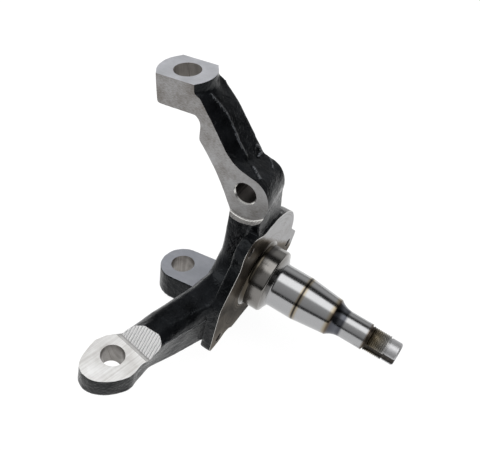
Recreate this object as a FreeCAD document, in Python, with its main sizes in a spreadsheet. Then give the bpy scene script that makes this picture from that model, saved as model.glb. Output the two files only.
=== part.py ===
"""Left-hand steering knuckle of a front-steer car: one forging, machined where parts fit to it.

The frame is the car's: +X forward, +Y out along the spindle, +Z up. The origin is the point where
the spindle's axis meets the machined face of the brake-shield flange.
"""
import FreeCAD, Part
import math
import os
import Sketcher

doc = FreeCAD.newDocument("steering_knuckle")
sheet = doc.addObject("Spreadsheet::Sheet", "Sizes")


class Dim:
    """A number together with the sheet formula that gives it, so that sums keep both."""

    def __init__(self, number, formula=None):
        self.number = float(number)
        self.formula = formula if formula is not None else repr(float(number))

    def joined(self, other, sign, number):
        return Dim(number, "(%s %s %s)" % (self.formula, sign, as_dim(other).formula))

    def __add__(self, other):
        return self.joined(other, "+", self.number + as_dim(other).number)

    def __sub__(self, other):
        return self.joined(other, "-", self.number - as_dim(other).number)

    def __mul__(self, other):
        return self.joined(other, "*", self.number * as_dim(other).number)

    def __truediv__(self, other):
        return self.joined(other, "/", self.number / as_dim(other).number)

    def __neg__(self):
        return Dim(0) - self


def as_dim(value):
    return value if isinstance(value, Dim) else Dim(value)


def sine(angle):
    return Dim(math.sin(math.radians(angle.number)), "sin(%s * 1 deg)" % angle.formula)


def cosine(angle):
    return Dim(math.cos(math.radians(angle.number)), "cos(%s * 1 deg)" % angle.formula)


def tangent(angle):
    return sine(angle) / cosine(angle)


def root(value):
    return Dim(math.sqrt(value.number), "sqrt(%s)" % value.formula)


def size(alias, number, meaning):
    """Writes one driving size in the next row of the sheet: its name, its number and what it is."""
    size.row += 1
    sheet.set("A%d" % size.row, alias)
    sheet.set("B%d" % size.row, repr(number))
    sheet.set("C%d" % size.row, meaning)
    sheet.setAlias("B%d" % size.row, alias)
    return Dim(number, "Sizes." + alias)


size.row = 0

# Spindle, from the flange face outwards
seal_dia = size("seal_dia", 45.6, "seal collar")
seal_length = size("seal_length", 15.6, "flange face to the collar's front")
seal_cove = size("seal_cove", 2.6, "cove between flange and collar")
seal_bevel_dia = size("seal_bevel_dia", 34.6, "inner end of the collar's coned front")
seal_bevel = size("seal_bevel", 2.0, "height of the collar's coned front")
seal_round = size("seal_round", 1.8, "rounded edge of the collar")
inner_seat_dia = size("inner_seat_dia", 31.75, "inner bearing seat")
inner_seat_start = size("inner_seat_start", 17.0, "flange face to the inner seat")
inner_seat_length = size("inner_seat_length", 18.8, "inner bearing seat")
taper_dia = size("taper_dia", 26.2, "small end of the long taper")
taper_length = size("taper_length", 24.2, "long taper")
neck_length = size("neck_length", 9.0, "hollow neck after the taper")
outer_seat_dia = size("outer_seat_dia", 19.05, "outer bearing seat")
outer_seat_length = size("outer_seat_length", 16.6, "outer bearing seat")
thread_dia = size("thread_dia", 17.6, "nut thread, over its crests")
thread_length = size("thread_length", 12.9, "nut thread")
relief_depth = size("relief_depth", 0.55, "turned reliefs each side of the thread")
relief_width = size("relief_width", 1.0, "turned reliefs each side of the thread")
pilot_dia = size("pilot_dia", 16.1, "plain end past the thread")
pilot_length = size("pilot_length", 7.7, "plain end past the thread")
pilot_bevel = size("pilot_bevel", 1.0, "bevel of the spindle's tip")
key_width = size("key_width", 5.0, "slot for the tongued washer")
key_depth = size("key_depth", 1.9, "slot, below the thread's crests")

# Flange for the brake shield
flange_thick = size("flange_thick", 8.0, "flange")
flange_dia = size("flange_dia", 97.0, "round part of the flange")
shield_circle = size("shield_circle", 104.0, "circle of the shield screws")
shield_drill = size("shield_drill", 6.8, "tapping drill of the shield screws")
flange_foot = size("flange_foot", -42.0, "flat foot of the flange")
ear_side = size("ear_side", 11.4, "rear screw to its ear's outer side")
ear_lean = size("ear_lean", 25.0, "slope of the upper ear's edge towards the disc")
top_ear_radius = size("top_ear_radius", 9.6, "ear round the upper screw")
upper_hole_angle = size("upper_hole_angle", 58.3, "upper screw, up from forward")
lower_hole_angle = size("lower_hole_angle", -36.3, "lower screw, up from forward")
rear_hole_angle = size("rear_hole_angle", 193.6, "rear screw, up from forward")
toe_forward = size("toe_forward", 52.4, "flange's straight front edge")
toe_top = size("toe_top", 8.5, "upper end of the straight front edge")
toe_wall = size("toe_wall", 7.6, "lower screw to the toe's lower edge")
toe_round = size("toe_round", 4.5, "toe's lower front corner")
toe_shoulder = size("toe_shoulder", 9.0, "upper screw down to where its ear's straight edge starts")
disc_start_angle = size("disc_start_angle", 77.0, "where the disc's edge takes over from the upper ear")
disc_end_angle = size("disc_end_angle", 173.0, "where the disc's edge gives way to the rear ear")
foot_start_angle = size("foot_start_angle", 222.0, "where the rear ear gives way to the disc's edge")
rear_ear_top = size("rear_ear_top", 6.6, "rear screw to its ear's upper corner")
rear_ear_inset = size("rear_ear_inset", 2.4, "rear ear's corners, back from its outer side")
rear_ear_foot = size("rear_ear_foot", 14.4, "rear screw to its ear's lower end")
rear_ear_round = size("rear_ear_round", 5.0, "corners of the rear ear")
foot_end = size("foot_end", 21.0, "front end of the flat foot")
foot_step = size("foot_step", 5.5, "step up from the flat foot towards the toe")

# Hub block and the upright that rises from it
hub_dia = size("hub_dia", 46.0, "hub behind the flange")
back_y = size("back_y", -26.0, "plain back of the hub and upright")
upright_front = size("upright_front", 18.0, "forged front of the upright")
upright_rear = size("upright_rear", -15.6, "forged rear of the upright")
upright_foot = size("upright_foot", -41.0, "lower end of the upright")
neck_edge = size("neck_edge", 9.5, "rounded inner front edge of the neck")
parting_x = size("parting_x", 1.0, "parting plane of the upright")
upright_draft = size("upright_draft", 6.0, "draft of the upright's forged sides")
pad_front = size("pad_front", 13.6, "machined front face for the caliper")
pad_rear = size("pad_rear", -14.4, "machined rear flat of the top boss")

# The upright's outline, seen from the front
web_foot_y = size("web_foot_y", -4.0, "upright's outer side at its foot, inside the flange")
web_root_y = size("web_root_y", -2.0, "upright's outer side where it leaves the flange")
boss_side_drop = size("boss_side_drop", 7.0, "caliper hole down to where its boss's round side starts")
boss_top_reach = size("boss_top_reach", 11.0, "caliper hole out to the upper end of its boss's side")
boss_top_rise = size("boss_top_rise", 10.0, "caliper hole up to the upper end of its boss's side")
boss_crown_reach = size("boss_crown_reach", 1.5, "caliper hole out to the top of its boss")
boss_crown_rise = size("boss_crown_rise", 13.7, "caliper hole up to the top of its boss")
crook_in = size("crook_in", 7.5, "caliper hole in to the start of the crook above its boss")
crook_rise = size("crook_rise", 15.3, "caliper hole up to the start of the crook")
crook_round = size("crook_round", 30.0, "crook between the boss and the web")
web_low_in = size("web_low_in", 19.0, "caliper hole in to the foot of the web's straight outer side")
web_low_rise = size("web_low_rise", 22.5, "caliper hole up to the foot of the web's straight side")
web_high_in = size("web_high_in", 32.5, "caliper hole in to the bend in the web's outer side")
web_high_rise = size("web_high_rise", 38.2, "caliper hole up to the bend in the web's outer side")
horn_out = size("horn_out", 18.2, "top boss out to the web's shoulder")
horn_drop = size("horn_drop", 4.0, "top boss down to the web's shoulder")
arch_out = size("arch_out", 16.0, "top boss out to the arch under it")
arch_drop = size("arch_drop", 16.5, "top boss down to the arch under it")
arch_round = size("arch_round", 7.5, "round of the arch under the top boss")
arch_side = size("arch_side", 22.2, "top boss out to the web's inner side")
arch_foot = size("arch_foot", 24.0, "top boss down to the foot of the arch")
kink_drop = size("kink_drop", 32.5, "top boss down to the kink in the web's inner side")
web_hollow = size("web_hollow", 140.0, "hollow of the web's inner side")
rear_boss_inset = size("rear_boss_inset", 3.0, "caliper boss at the rear, in from its outline at the front")
rear_boss_drop = size("rear_boss_drop", 2.3, "caliper boss at the rear, down from its top at the front")
web_fill = size("web_fill", 4.0, "web's outer side at the rear, out from its outline at the front")

# Lower caliper hole and its boss
caliper_y = size("caliper_y", -19.3, "caliper hole")
caliper_z = size("caliper_z", 73.2, "caliper hole")
caliper_bore = size("caliper_bore", 14.4, "caliper hole")
caliper_land = size("caliper_land", 20.2, "radius of the milled land round the hole")
caliper_boss = size("caliper_boss", 16.6, "radius of the boss, to the hub side")
caliper_bevel = size("caliper_bevel", 0.8, "bevel of the caliper hole")

# Upper ball-joint boss
kingpin_tilt = size("kingpin_tilt", 11.5, "ball-joint axes lean in at the top")
top_y = size("top_y", -80.3, "top boss, centre of its upper face")
top_z = size("top_z", 126.5, "top boss, centre of its upper face")
top_dia = size("top_dia", 37.4, "top boss")
top_thick = size("top_thick", 20.0, "top boss along its hole")
top_bore = size("top_bore", 17.4, "upper taper hole at its large end")

# Lower ball-joint arm
low_y = size("low_y", -57.3, "lower boss, centre of its upper face")
low_z = size("low_z", -34.8, "lower boss, centre of its upper face")
low_dia = size("low_dia", 33.2, "lower boss at its upper face")
low_thick = size("low_thick", 20.0, "lower boss along its hole")
low_bore = size("low_bore", 17.3, "lower taper hole at its upper, small end")
low_draft = size("low_draft", 6.0, "draft of the lower arm's sides")

# Steering arm
eye_x = size("eye_x", 108.6, "track-rod hole")
eye_y = size("eye_y", -39.9, "track-rod hole")
eye_z = size("eye_z", -10.5, "milled face of the eye")
eye_nose = size("eye_nose", 18.2, "track-rod hole to the eye's outer side")
eye_heel = size("eye_heel", 15.8, "track-rod hole to the eye's inner side")
eye_tip = size("eye_tip", 22.0, "track-rod hole to the eye's front")
eye_inner_round = size("eye_inner_round", 11.5, "inner front corner of the eye")
eye_front_round = size("eye_front_round", 30.0, "outer front of the eye")
eye_outer_round = size("eye_outer_round", 11.0, "outer corner of the eye")
eye_draft = size("eye_draft", 1.0, "draft of the eye's side")
eye_bottom = size("eye_bottom", -27.0, "underside of the eye and arm")
eye_bore = size("eye_bore", 15.6, "track-rod taper hole at its large end")
eye_wall_x = size("eye_wall_x", 95.0, "foot of the milled wall behind the eye")
eye_wall_lean = size("eye_wall_lean", 27.0, "lean of the milled wall, from upright")
eye_wall_round = size("eye_wall_round", 2.5, "cutter radius at the wall's foot")
arm_top = size("arm_top", 7.5, "forged top of the steering arm")
arm_out_near = size("arm_out_near", -3.4, "arm's outer side at the elbow, inside the flange")
arm_out_far = size("arm_out_far", -17.6, "arm's outer side beside the track-rod hole")
arm_in_near = size("arm_in_near", -30.0, "arm's inner side at the elbow")
arm_in_far = size("arm_in_far", -48.0, "arm's inner side beside the track-rod hole")
arm_elbow_x = size("arm_elbow_x", 41.6, "elbow of the arm's inner side")
arm_flash = size("arm_flash", 1.0, "flash line of the steering arm")
arm_bevel_round = size("arm_bevel_round", 20.0, "round of the arm's outer bevel at the bend")
arm_middle_x = size("arm_middle_x", 75.0, "bend in the steering arm's outer side")
arm_middle_in = size("arm_middle_in", -39.6, "arm's inner side at the bend")
arm_middle_out = size("arm_middle_out", -13.4, "arm's outer side at the bend")
arm_middle_crest = size("arm_middle_crest", -31.0, "inner edge of the arm's top at the bend")
arm_middle_ridge = size("arm_middle_ridge", -20.0, "outer edge of the arm's top at the bend")
arm_end_foot = size("arm_end_foot", -25.4, "arm's outer lower edge beside the track-rod hole")
arm_end_top = size("arm_end_top", 5.6, "outer edge of the arm's top beside the track-rod hole")
arm_end_crest = size("arm_end_crest", 2.6, "inner edge of the arm's top beside the track-rod hole")
arm_shoulder = size("arm_shoulder", 6.0, "flash line down to the arm's inner shoulder")
arm_round = size("arm_round", 14.0, "round of the arm's inner top corner")
arm_end_round = size("arm_end_round", 22.0, "the same round beside the track-rod hole")
eye_wall_turn = size("eye_wall_turn", -9.8, "turn of the milled wall, square to the arm")
neck_round = size("neck_round", 18.0, "blend of the upright's front into the steering arm")
neck_hollow = size("neck_hollow", 13.3, "hollow neck of the spindle")
taper_ratio = size("taper_ratio", 8.0, "length of a taper hole for each unit of diameter")

doc.recompute()


def vector(*coordinates):
    return FreeCAD.Vector(*[as_dim(value).number for value in coordinates])


def bind(target, path, value):
    """Sets a property to a size and ties it to the sheet."""
    target.setExpression(path, as_dim(value).formula)


def plane(body, role):
    return [item for item in body.Origin.OriginFeatures if item.Role == role][0]


def new_sketch(body, name, role, base=(0, 0, 0), turn_axis=None, turn=None):
    """A sketch on one of the body's own planes, moved by base and turned about turn_axis."""
    sketch = body.newObject("Sketcher::SketchObject", name)
    sketch.AttachmentSupport = [(plane(body, role), "")]
    sketch.MapMode = "FlatFace"
    if turn is not None:
        offset = FreeCAD.Placement(FreeCAD.Vector(), FreeCAD.Rotation(turn_axis, turn.number))
        sketch.AttachmentOffset = offset
        bind(sketch, "AttachmentOffset.Rotation.Angle", turn)
    for letter, value in zip("xyz", base):
        bind(sketch, "AttachmentOffset.Base." + letter, value)
    return sketch


def constrain(sketch, kind, *parts):
    """Adds a constraint whose last part is a size, and ties that size to the sheet."""
    value = as_dim(parts[-1])
    number = sketch.addConstraint(Sketcher.Constraint(kind, *parts[:-1], value.number))
    bind(sketch, "Constraints[%d]" % number, value)


def outline(sketch, corners):
    """A closed outline. A corner is (x, y) or (x, y, radius) for an arc to the next corner.

    A positive radius bulges to the right of the way that the outline runs, a negative one to the left.
    """
    count = len(corners)
    ends = []
    for index, corner in enumerate(corners):
        start = vector(corner[0], corner[1], 0)
        following = corners[(index + 1) % count]
        end = vector(following[0], following[1], 0)
        if len(corner) == 2:
            sketch.addGeometry(Part.LineSegment(start, end), False)
            ends.append((1, 2))
            continue
        radius = as_dim(corner[2]).number
        chord = end - start
        height = math.sqrt(radius ** 2 - (chord.Length / 2) ** 2)
        away = FreeCAD.Vector(chord.y, -chord.x, 0).normalize() * math.copysign(height, radius)
        centre = (start + end) / 2 - away
        first, last = (start, end) if radius > 0 else (end, start)
        angles = [math.atan2(point.y - centre.y, point.x - centre.x) for point in (first, last)]
        whole = Part.Circle(centre, FreeCAD.Vector(0, 0, 1), abs(radius))
        sketch.addGeometry(Part.ArcOfCircle(whole, *angles), False)
        ends.append((1, 2) if radius > 0 else (2, 1))
    for index, corner in enumerate(corners):
        following = (index + 1) % count
        joint = (index, ends[index][1], following, ends[following][0])
        sketch.addConstraint(Sketcher.Constraint("Coincident", *joint))
        constrain(sketch, "DistanceX", -1, 1, index, ends[index][0], corner[0])
        constrain(sketch, "DistanceY", -1, 1, index, ends[index][0], corner[1])
        if len(corner) == 3:
            span = as_dim(corner[2])
            constrain(sketch, "Radius", index, span if span.number > 0 else -span)


def circle(sketch, across, up, radius):
    """A circle at (across, up) of the sketch."""
    number = sketch.addGeometry(Part.Circle(vector(across, up, 0), FreeCAD.Vector(0, 0, 1), radius.number))
    constrain(sketch, "DistanceX", -1, 1, number, 3, across)
    constrain(sketch, "DistanceY", -1, 1, number, 3, up)
    constrain(sketch, "Radius", number, radius)


def extruded(body, kind, name, sketch, length, other=None, draft=None, reverse=False):
    """A Pad or a Pocket of the sketch: length along its normal, and other the opposite way."""
    feature = body.newObject("PartDesign::" + kind, name)
    feature.Profile = sketch
    feature.Reversed = reverse
    bind(feature, "Length", length)
    if other is not None:
        feature.SideType = "Two sides"
        bind(feature, "Length2", other)
    if draft is not None:
        bind(feature, "TaperAngle", draft)
        if other is not None:
            bind(feature, "TaperAngle2", draft)
    sketch.Visibility = False
    doc.recompute()
    return feature


def edges_at(feature, places, reach=0.4):
    """The names of the feature's edges that pass through the given places."""
    names = []
    for place in places:
        spot = Part.Vertex(place)
        ranked = sorted((edge.distToShape(spot)[0], number)
                        for number, edge in enumerate(feature.Shape.Edges, 1))
        if ranked and ranked[0][0] < reach:
            names.append("Edge%d" % ranked[0][1])
    return sorted(set(names))


body = doc.addObject("PartDesign::Body", "knuckle")
body.Label = "steering_knuckle"

# The flange: a disc with a flat foot, a straight-edged toe under the steering arm and ears for screws
screw_radius = shield_circle / 2


def around(angle, radius):
    """The place at an angle up from forward, on a circle about the spindle."""
    return radius * cosine(angle), radius * sine(angle)


def screw_place(angle):
    return around(angle, screw_radius)


upper_x, upper_z = screw_place(upper_hole_angle)
lower_x, lower_z = screw_place(lower_hole_angle)
rear_x, rear_z = screw_place(rear_hole_angle)
rim = flange_dia / 2
foot_reach = root(rim * rim - flange_foot * flange_foot)
toe_bottom = lower_z - toe_wall
flange_plan = new_sketch(body, "flange_plan", "XZ_Plane")
outline(flange_plan, [
    (toe_forward - toe_round, toe_bottom, toe_round),
    (toe_forward, toe_bottom + toe_round),
    (toe_forward, toe_top),
    (upper_x + top_ear_radius, upper_z - toe_shoulder),
    (upper_x + top_ear_radius, upper_z, top_ear_radius),
    (upper_x - top_ear_radius * sine(ear_lean), upper_z + top_ear_radius * cosine(ear_lean)),
    (*around(disc_start_angle, rim), rim),
    around(disc_end_angle, rim),
    (rear_x - ear_side + rear_ear_inset, rear_z + rear_ear_top, rear_ear_round),
    (rear_x - ear_side, rear_z + rear_ear_top * 0.3),
    (rear_x - ear_side + rear_ear_inset * 0.5, rear_z - rear_ear_foot * 0.7, rear_ear_round),
    (rear_x - ear_side + rear_ear_inset * 2, rear_z - rear_ear_foot),
    (*around(foot_start_angle, rim), rim),
    (-foot_reach, flange_foot),
    (foot_end, flange_foot),
    (foot_end + foot_step, flange_foot + foot_step * 0.9),
    (lower_x - toe_wall * 1.3, flange_foot + foot_step * 1.1),
    (lower_x - toe_wall * 0.2, toe_bottom),
])
extruded(body, "Pad", "flange", flange_plan, flange_thick)

# The hub block, which backs the flange where the spindle's root runs in
hub_plan = new_sketch(body, "hub_plan", "XZ_Plane")
circle(hub_plan, Dim(0), Dim(0), hub_dia / 2)
extruded(body, "Pad", "hub", hub_plan, -back_y, draft=-upright_draft)

# The upright: a forged web, widest on its parting plane and drafted to its front and rear
low_corner_z = caliper_z - caliper_land
wall_y = caliper_y + caliper_boss
slope = tangent(upright_draft)


def upright_outline(spread, boss, crown, fill, neck):
    """The upright seen from the front, as milled there, with each side moved out by spread.

    The boss round the caliper hole, its top and the web's outer side, which fills out to a straight
    line, are moved out by lengths of their own, and neck moves the inner side of the neck below the
    milled face in towards the spindle.
    """
    return [
        (web_foot_y, upright_foot),
        (web_root_y, rim + web_root_y),
        (wall_y + boss, caliper_z - boss_side_drop, caliper_boss + 1),
        (caliper_y + boss_top_reach + boss * 0.7, caliper_z + boss_top_rise + boss * 0.7, boss_crown_rise),
        (caliper_y + boss_crown_reach + crown * 0.5, caliper_z + boss_crown_rise + crown),
        (caliper_y - crook_in + crown * 0.6 + fill, caliper_z + crook_rise + crown - fill * 0.33,
         -crook_round - fill * 30),
        (caliper_y - web_low_in + spread + fill, caliper_z + web_low_rise + spread + fill * 0.33),
        (caliper_y - web_high_in + spread + fill * 0.75, caliper_z + web_high_rise + spread + fill * 0.25),
        (top_y + horn_out + spread, top_z - horn_drop + spread),
        (top_y + horn_out * 0.77, top_z - horn_drop * 0.9),
        (top_y, top_z - arch_drop / 2),
        (top_y + arch_out, top_z - arch_drop, -arch_round),
        (top_y + arch_side, top_z - arch_foot),
        (top_y + arch_side + 0.8 - spread, top_z - kink_drop, -web_hollow),
        (back_y - spread + neck * 0.1, low_corner_z),
        (back_y - spread + neck * 1.3, upright_foot),
    ]


upright_sections = []
neck_start_x = upright_front - neck_edge
for label, depth, behind, turn in [
        ("rear", upright_rear, Dim(1), None),
        ("parting", parting_x, Dim(0.35), None),
        ("shoulder", neck_start_x, Dim(0), Dim(0)),
        ("face", neck_start_x + neck_edge * sine(Dim(30)), Dim(0), Dim(30)),
        ("edge", neck_start_x + neck_edge * sine(Dim(55)), Dim(0), Dim(55)),
        ("nose", neck_start_x + neck_edge * sine(Dim(75)), Dim(0), Dim(75)),
        ("front", upright_front, Dim(0), Dim(90))]:
    reach = parting_x * 2 - depth if label == "rear" else depth
    spread = (pad_front - reach) * slope
    neck = Dim(0) if turn is None else neck_edge - neck_edge * cosine(turn)
    section = new_sketch(body, label + "_upright_plan", "YZ_Plane", base=(0, 0, depth))
    outline(section, upright_outline(spread, -rear_boss_inset * behind, -rear_boss_drop * behind,
                                     web_fill * behind, neck))
    upright_sections.append(section)
upright = body.newObject("PartDesign::AdditiveLoft", "upright")
upright.Profile = upright_sections[0]
upright.Sections = upright_sections[1:]
upright.Ruled = True
doc.recompute()

# The top boss, square to the ball-joint axis
tilt_axis = FreeCAD.Vector(1, 0, 0)


def tilted_base(y, z):
    """Attachment offset of a sketch on the XY plane, put through (0, y, z)."""
    return Dim(0), y, z


top_plan = new_sketch(body, "top_boss_plan", "XY_Plane", tilted_base(top_y, top_z), tilt_axis, kingpin_tilt)
circle(top_plan, Dim(0), Dim(0), top_dia / 2)
extruded(body, "Pad", "top_boss", top_plan, top_thick, reverse=True)

# The lower arm: a tongue with a round end, square to the ball-joint axis and drafted downwards
reach_in = -low_y - 20
low_plan = new_sketch(body, "lower_arm_plan", "XY_Plane", tilted_base(low_y, low_z), tilt_axis, kingpin_tilt)
outline(low_plan, [
    (-low_dia / 2, Dim(0), low_dia / 2),
    (Dim(0), -low_dia / 2, low_dia / 2),
    (low_dia / 2, Dim(0)),
    (low_dia / 2, reach_in),
    (-low_dia / 2, reach_in),
])
extruded(body, "Pad", "lower_arm", low_plan, low_thick, draft=low_draft, reverse=True)

# The steering arm, lofted from the hub to the eye: its outer top corner turns into a broad bevel
# and its inner top corner into a broad round as it nears the eye
arm_sections = []
root_in = back_y + 1
root_out = back_y * 0.35
for label, place, inner, outer_side, foot, crest, crest_z, ridge, ridge_z, sag, bevel_round, bend in [
        ("root", -root_out, root_in, root_out, root_out, root_in + 4, arm_top, root_out - 1, arm_top,
         Dim(0), arm_bevel_round * 2, arm_round),
        ("elbow", arm_elbow_x, arm_in_near, arm_out_near, arm_out_near + 1, arm_in_near + 7, arm_top,
         arm_out_near - 1.5, arm_top, Dim(0), arm_bevel_round * 2, arm_round),
        ("middle", arm_middle_x, arm_middle_in, arm_middle_out, arm_middle_out - 0.8, arm_middle_crest,
         arm_top - 2, arm_middle_ridge, arm_top - 0.5, arm_flash * 2, arm_bevel_round, arm_round),
        ("end", eye_x - eye_bore / 2, arm_in_far, arm_out_far, arm_end_foot, arm_in_far + arm_round,
         arm_end_crest, arm_out_far - 4, arm_end_top, arm_flash * 5, arm_bevel_round * 0.3, arm_end_round)]:
    section = new_sketch(body, label + "_arm_plan", "YZ_Plane", base=(0, 0, place))
    outline(section, [
        (inner - 1.5, eye_bottom),
        (foot, eye_bottom),
        (outer_side, arm_flash, bevel_round),
        (ridge, ridge_z),
        (crest, crest_z, bend),
        (inner + 0.8, arm_flash - arm_shoulder - sag),
    ])
    arm_sections.append(section)
arm = body.newObject("PartDesign::AdditiveLoft", "steering_arm")
arm.Profile = arm_sections[0]
arm.Sections = arm_sections[1:]
arm.Ruled = True
doc.recompute()
eye_plan = new_sketch(body, "eye_plan", "XY_Plane", base=(0, 0, eye_bottom))
eye_out = eye_y + eye_nose
eye_in = eye_y - eye_heel
outline(eye_plan, [
    (eye_wall_x - eye_bore / 2, eye_y),
    (eye_wall_x - 1, arm_in_far),
    (eye_x - eye_tip * 0.4, eye_in + 2.8),
    (eye_x - eye_tip * 0.1, eye_in, eye_heel * 5),
    (eye_x + eye_tip - eye_inner_round, eye_in + 1, eye_inner_round),
    (eye_x + eye_tip, eye_y - 3.6, eye_inner_round * 1.3),
    (eye_x + eye_tip - 1.6, eye_y + 4, eye_front_round),
    (eye_x + eye_tip * 0.36, eye_out - 1.6, eye_outer_round),
    (eye_x, eye_out),
    (eye_x - eye_nose, eye_out),
])
extruded(body, "Pad", "eye", eye_plan, eye_z - eye_bottom + 1, draft=-eye_draft)

# The blend from the upright's front down into the steering arm
blend_x = upright_front + neck_round
blend_z = arm_top + neck_round
blend_sections = []
for label, place, inset in [
        ("outer", -flange_thick + 1, Dim(0)),
        ("shoulder", back_y + neck_edge, Dim(0)),
        *[("turn_%d" % turn, back_y + neck_edge - neck_edge * sine(Dim(turn)),
           neck_edge - neck_edge * cosine(Dim(turn))) for turn in (30, 55, 75, 90)]]:
    bend = neck_round + inset
    section = new_sketch(body, label + "_blend_plan", "XZ_Plane", base=(0, 0, -place))
    outline(section, [
        (upright_front - 14, arm_top - 14),
        (blend_x, arm_top - 14),
        (blend_x, blend_z - bend, -bend),
        (blend_x - bend, blend_z),
        (upright_front - 14, blend_z),
    ])
    blend_sections.append(section)
blend = body.newObject("PartDesign::AdditiveLoft", "neck_blend")
blend.Profile = blend_sections[0]
blend.Sections = blend_sections[1:]
blend.Ruled = True
doc.recompute()

# The spindle, turned between centres
seal = seal_dia / 2
seat = inner_seat_dia / 2
outer = outer_seat_dia / 2
thread = thread_dia / 2
pilot = pilot_dia / 2
collar_edge = seal_length - seal_bevel
taper_start = inner_seat_start + inner_seat_length
neck_start = taper_start + taper_length
outer_start = neck_start + neck_length
relief_start = outer_start + outer_seat_length
thread_start = relief_start + relief_width
pilot_start = thread_start + thread_length + relief_width
tip = pilot_start + pilot_length
seat_cove = inner_seat_start - seal_length
spindle_plan = new_sketch(body, "spindle_plan", "XY_Plane")
outline(spindle_plan, [
    (Dim(0), back_y / 2),
    (seal + seal_cove, back_y / 2),
    (seal + seal_cove, Dim(0), -seal_cove),
    (seal, seal_cove),
    (seal, collar_edge - seal_round, seal_round),
    (seal - seal_round, collar_edge),
    (seal_bevel_dia / 2, seal_length),
    (seat + seat_cove, seal_length, -seat_cove),
    (seat, inner_seat_start),
    (seat, taper_start),
    (taper_dia / 2, neck_start, -neck_hollow),
    (outer, outer_start),
    (outer, relief_start),
    (thread - relief_depth, relief_start),
    (thread - relief_depth, thread_start),
    (thread, thread_start),
    (thread, thread_start + thread_length),
    (pilot - relief_depth, thread_start + thread_length),
    (pilot - relief_depth, pilot_start),
    (pilot, pilot_start),
    (pilot, tip - pilot_bevel),
    (pilot - pilot_bevel, tip),
    (Dim(0), tip),
])
spindle = body.newObject("PartDesign::Revolution", "spindle")
spindle.Profile = spindle_plan
spindle.ReferenceAxis = (spindle_plan, ["V_Axis"])
spindle.Angle = 360
doc.recompute()

# Milling: the front face and land for the caliper, the boss's rear flat and the eye
front_cut = new_sketch(body, "front_face_plan", "YZ_Plane", base=(0, 0, pad_front))
outline(front_cut, [
    (caliper_y - caliper_land, caliper_z, caliper_land),
    (caliper_y, caliper_z - caliper_land, caliper_land),
    (caliper_y + caliper_land, caliper_z),
    (caliper_y + caliper_land, top_z + top_dia),
    (top_y - top_dia, top_z + top_dia),
    (top_y - top_dia, caliper_z),
])
extruded(body, "Pocket", "front_face", front_cut, upright_front, reverse=True)
rear_cut = new_sketch(body, "rear_flat_plan", "YZ_Plane", base=(0, 0, pad_rear))
outline(rear_cut, [
    (top_y - top_dia, top_z - top_dia),
    (top_y + top_dia / 2, top_z - top_dia),
    (top_y + top_dia / 2, top_z + top_dia),
    (top_y - top_dia, top_z + top_dia),
])
extruded(body, "Pocket", "rear_flat", rear_cut, top_dia)
lean = tangent(eye_wall_lean)
eye_cut = new_sketch(body, "eye_face_plan", "XZ_Plane", base=(eye_wall_x, 0, -eye_y),
                     turn_axis=FreeCAD.Vector(0, 1, 0), turn=eye_wall_turn)
wall_rise = arm_top + 12 - eye_z
outline(eye_cut, [
    (-wall_rise * lean, eye_z + wall_rise),
    (-eye_wall_round * (sine(eye_wall_lean) * 1), eye_z + eye_wall_round * cosine(eye_wall_lean)),
    (eye_wall_round, eye_z),
    (eye_nose * 4, eye_z),
    (eye_nose * 4, eye_z + wall_rise),
])
extruded(body, "Pocket", "eye_face", eye_cut, eye_nose * 3, other=eye_nose * 3)

# Taper holes for the two ball joints and the track rod, bolt hole for the caliper, shield screws
top_hole_plan = new_sketch(body, "top_hole_plan", "XY_Plane", tilted_base(top_y, top_z), tilt_axis, kingpin_tilt)
circle(top_hole_plan, Dim(0), Dim(0), top_bore / 2)
hole_lean = Dim(math.degrees(math.atan(0.5 / taper_ratio.number)), "atan(0.5 / %s) / 1 deg" % taper_ratio.formula)
extruded(body, "Pocket", "top_hole", top_hole_plan, top_thick + 2, draft=-hole_lean)
low_hole_plan = new_sketch(body, "low_hole_plan", "XY_Plane", tilted_base(low_y, low_z), tilt_axis, kingpin_tilt)
circle(low_hole_plan, Dim(0), Dim(0), low_bore / 2)
extruded(body, "Pocket", "low_hole", low_hole_plan, low_thick + 2, draft=hole_lean)
eye_hole_plan = new_sketch(body, "eye_hole_plan", "XY_Plane", base=(0, 0, eye_z))
circle(eye_hole_plan, eye_x, eye_y, eye_bore / 2)
extruded(body, "Pocket", "eye_hole", eye_hole_plan, eye_z - eye_bottom + 2, draft=-hole_lean)
caliper_plan = new_sketch(body, "caliper_hole_plan", "YZ_Plane", base=(0, 0, upright_rear - 5))
circle(caliper_plan, caliper_y, caliper_z, caliper_bore / 2)
extruded(body, "Pocket", "caliper_hole", caliper_plan, upright_front - upright_rear + 10, reverse=True)
screws_plan = new_sketch(body, "screws_plan", "XZ_Plane", base=(0, 0, -1))
for angle in (upper_hole_angle, lower_hole_angle, rear_hole_angle):
    circle(screws_plan, *screw_place(angle), shield_drill / 2)
extruded(body, "Pocket", "screws", screws_plan, flange_thick + 2, reverse=True)

# The slot that keys the nut's washer, cut in from the spindle's tip
key_plan = new_sketch(body, "key_plan", "XY_Plane")
key_floor = thread - key_depth
outline(key_plan, [
    (key_floor, tip + 1),
    (key_floor, thread_start + 4, -14),
    (thread + 1, thread_start - 2),
    (thread + 1, tip + 1),
])
extruded(body, "Pocket", "key_slot", key_plan, key_width / 2, other=key_width / 2)

mouth_reach = caliper_bore / 2 * cosine(Dim(45))
mouth = vector(pad_front, caliper_y + mouth_reach, caliper_z + mouth_reach)
mouth_edges = edges_at(body.Tip, [mouth])
drilled = body.Tip
chamfer = body.newObject("PartDesign::Chamfer", "caliper_mouth")
chamfer.Base = (drilled, mouth_edges)
bind(chamfer, "Size", caliper_bevel)
body.Tip = chamfer
doc.recompute()

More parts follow.
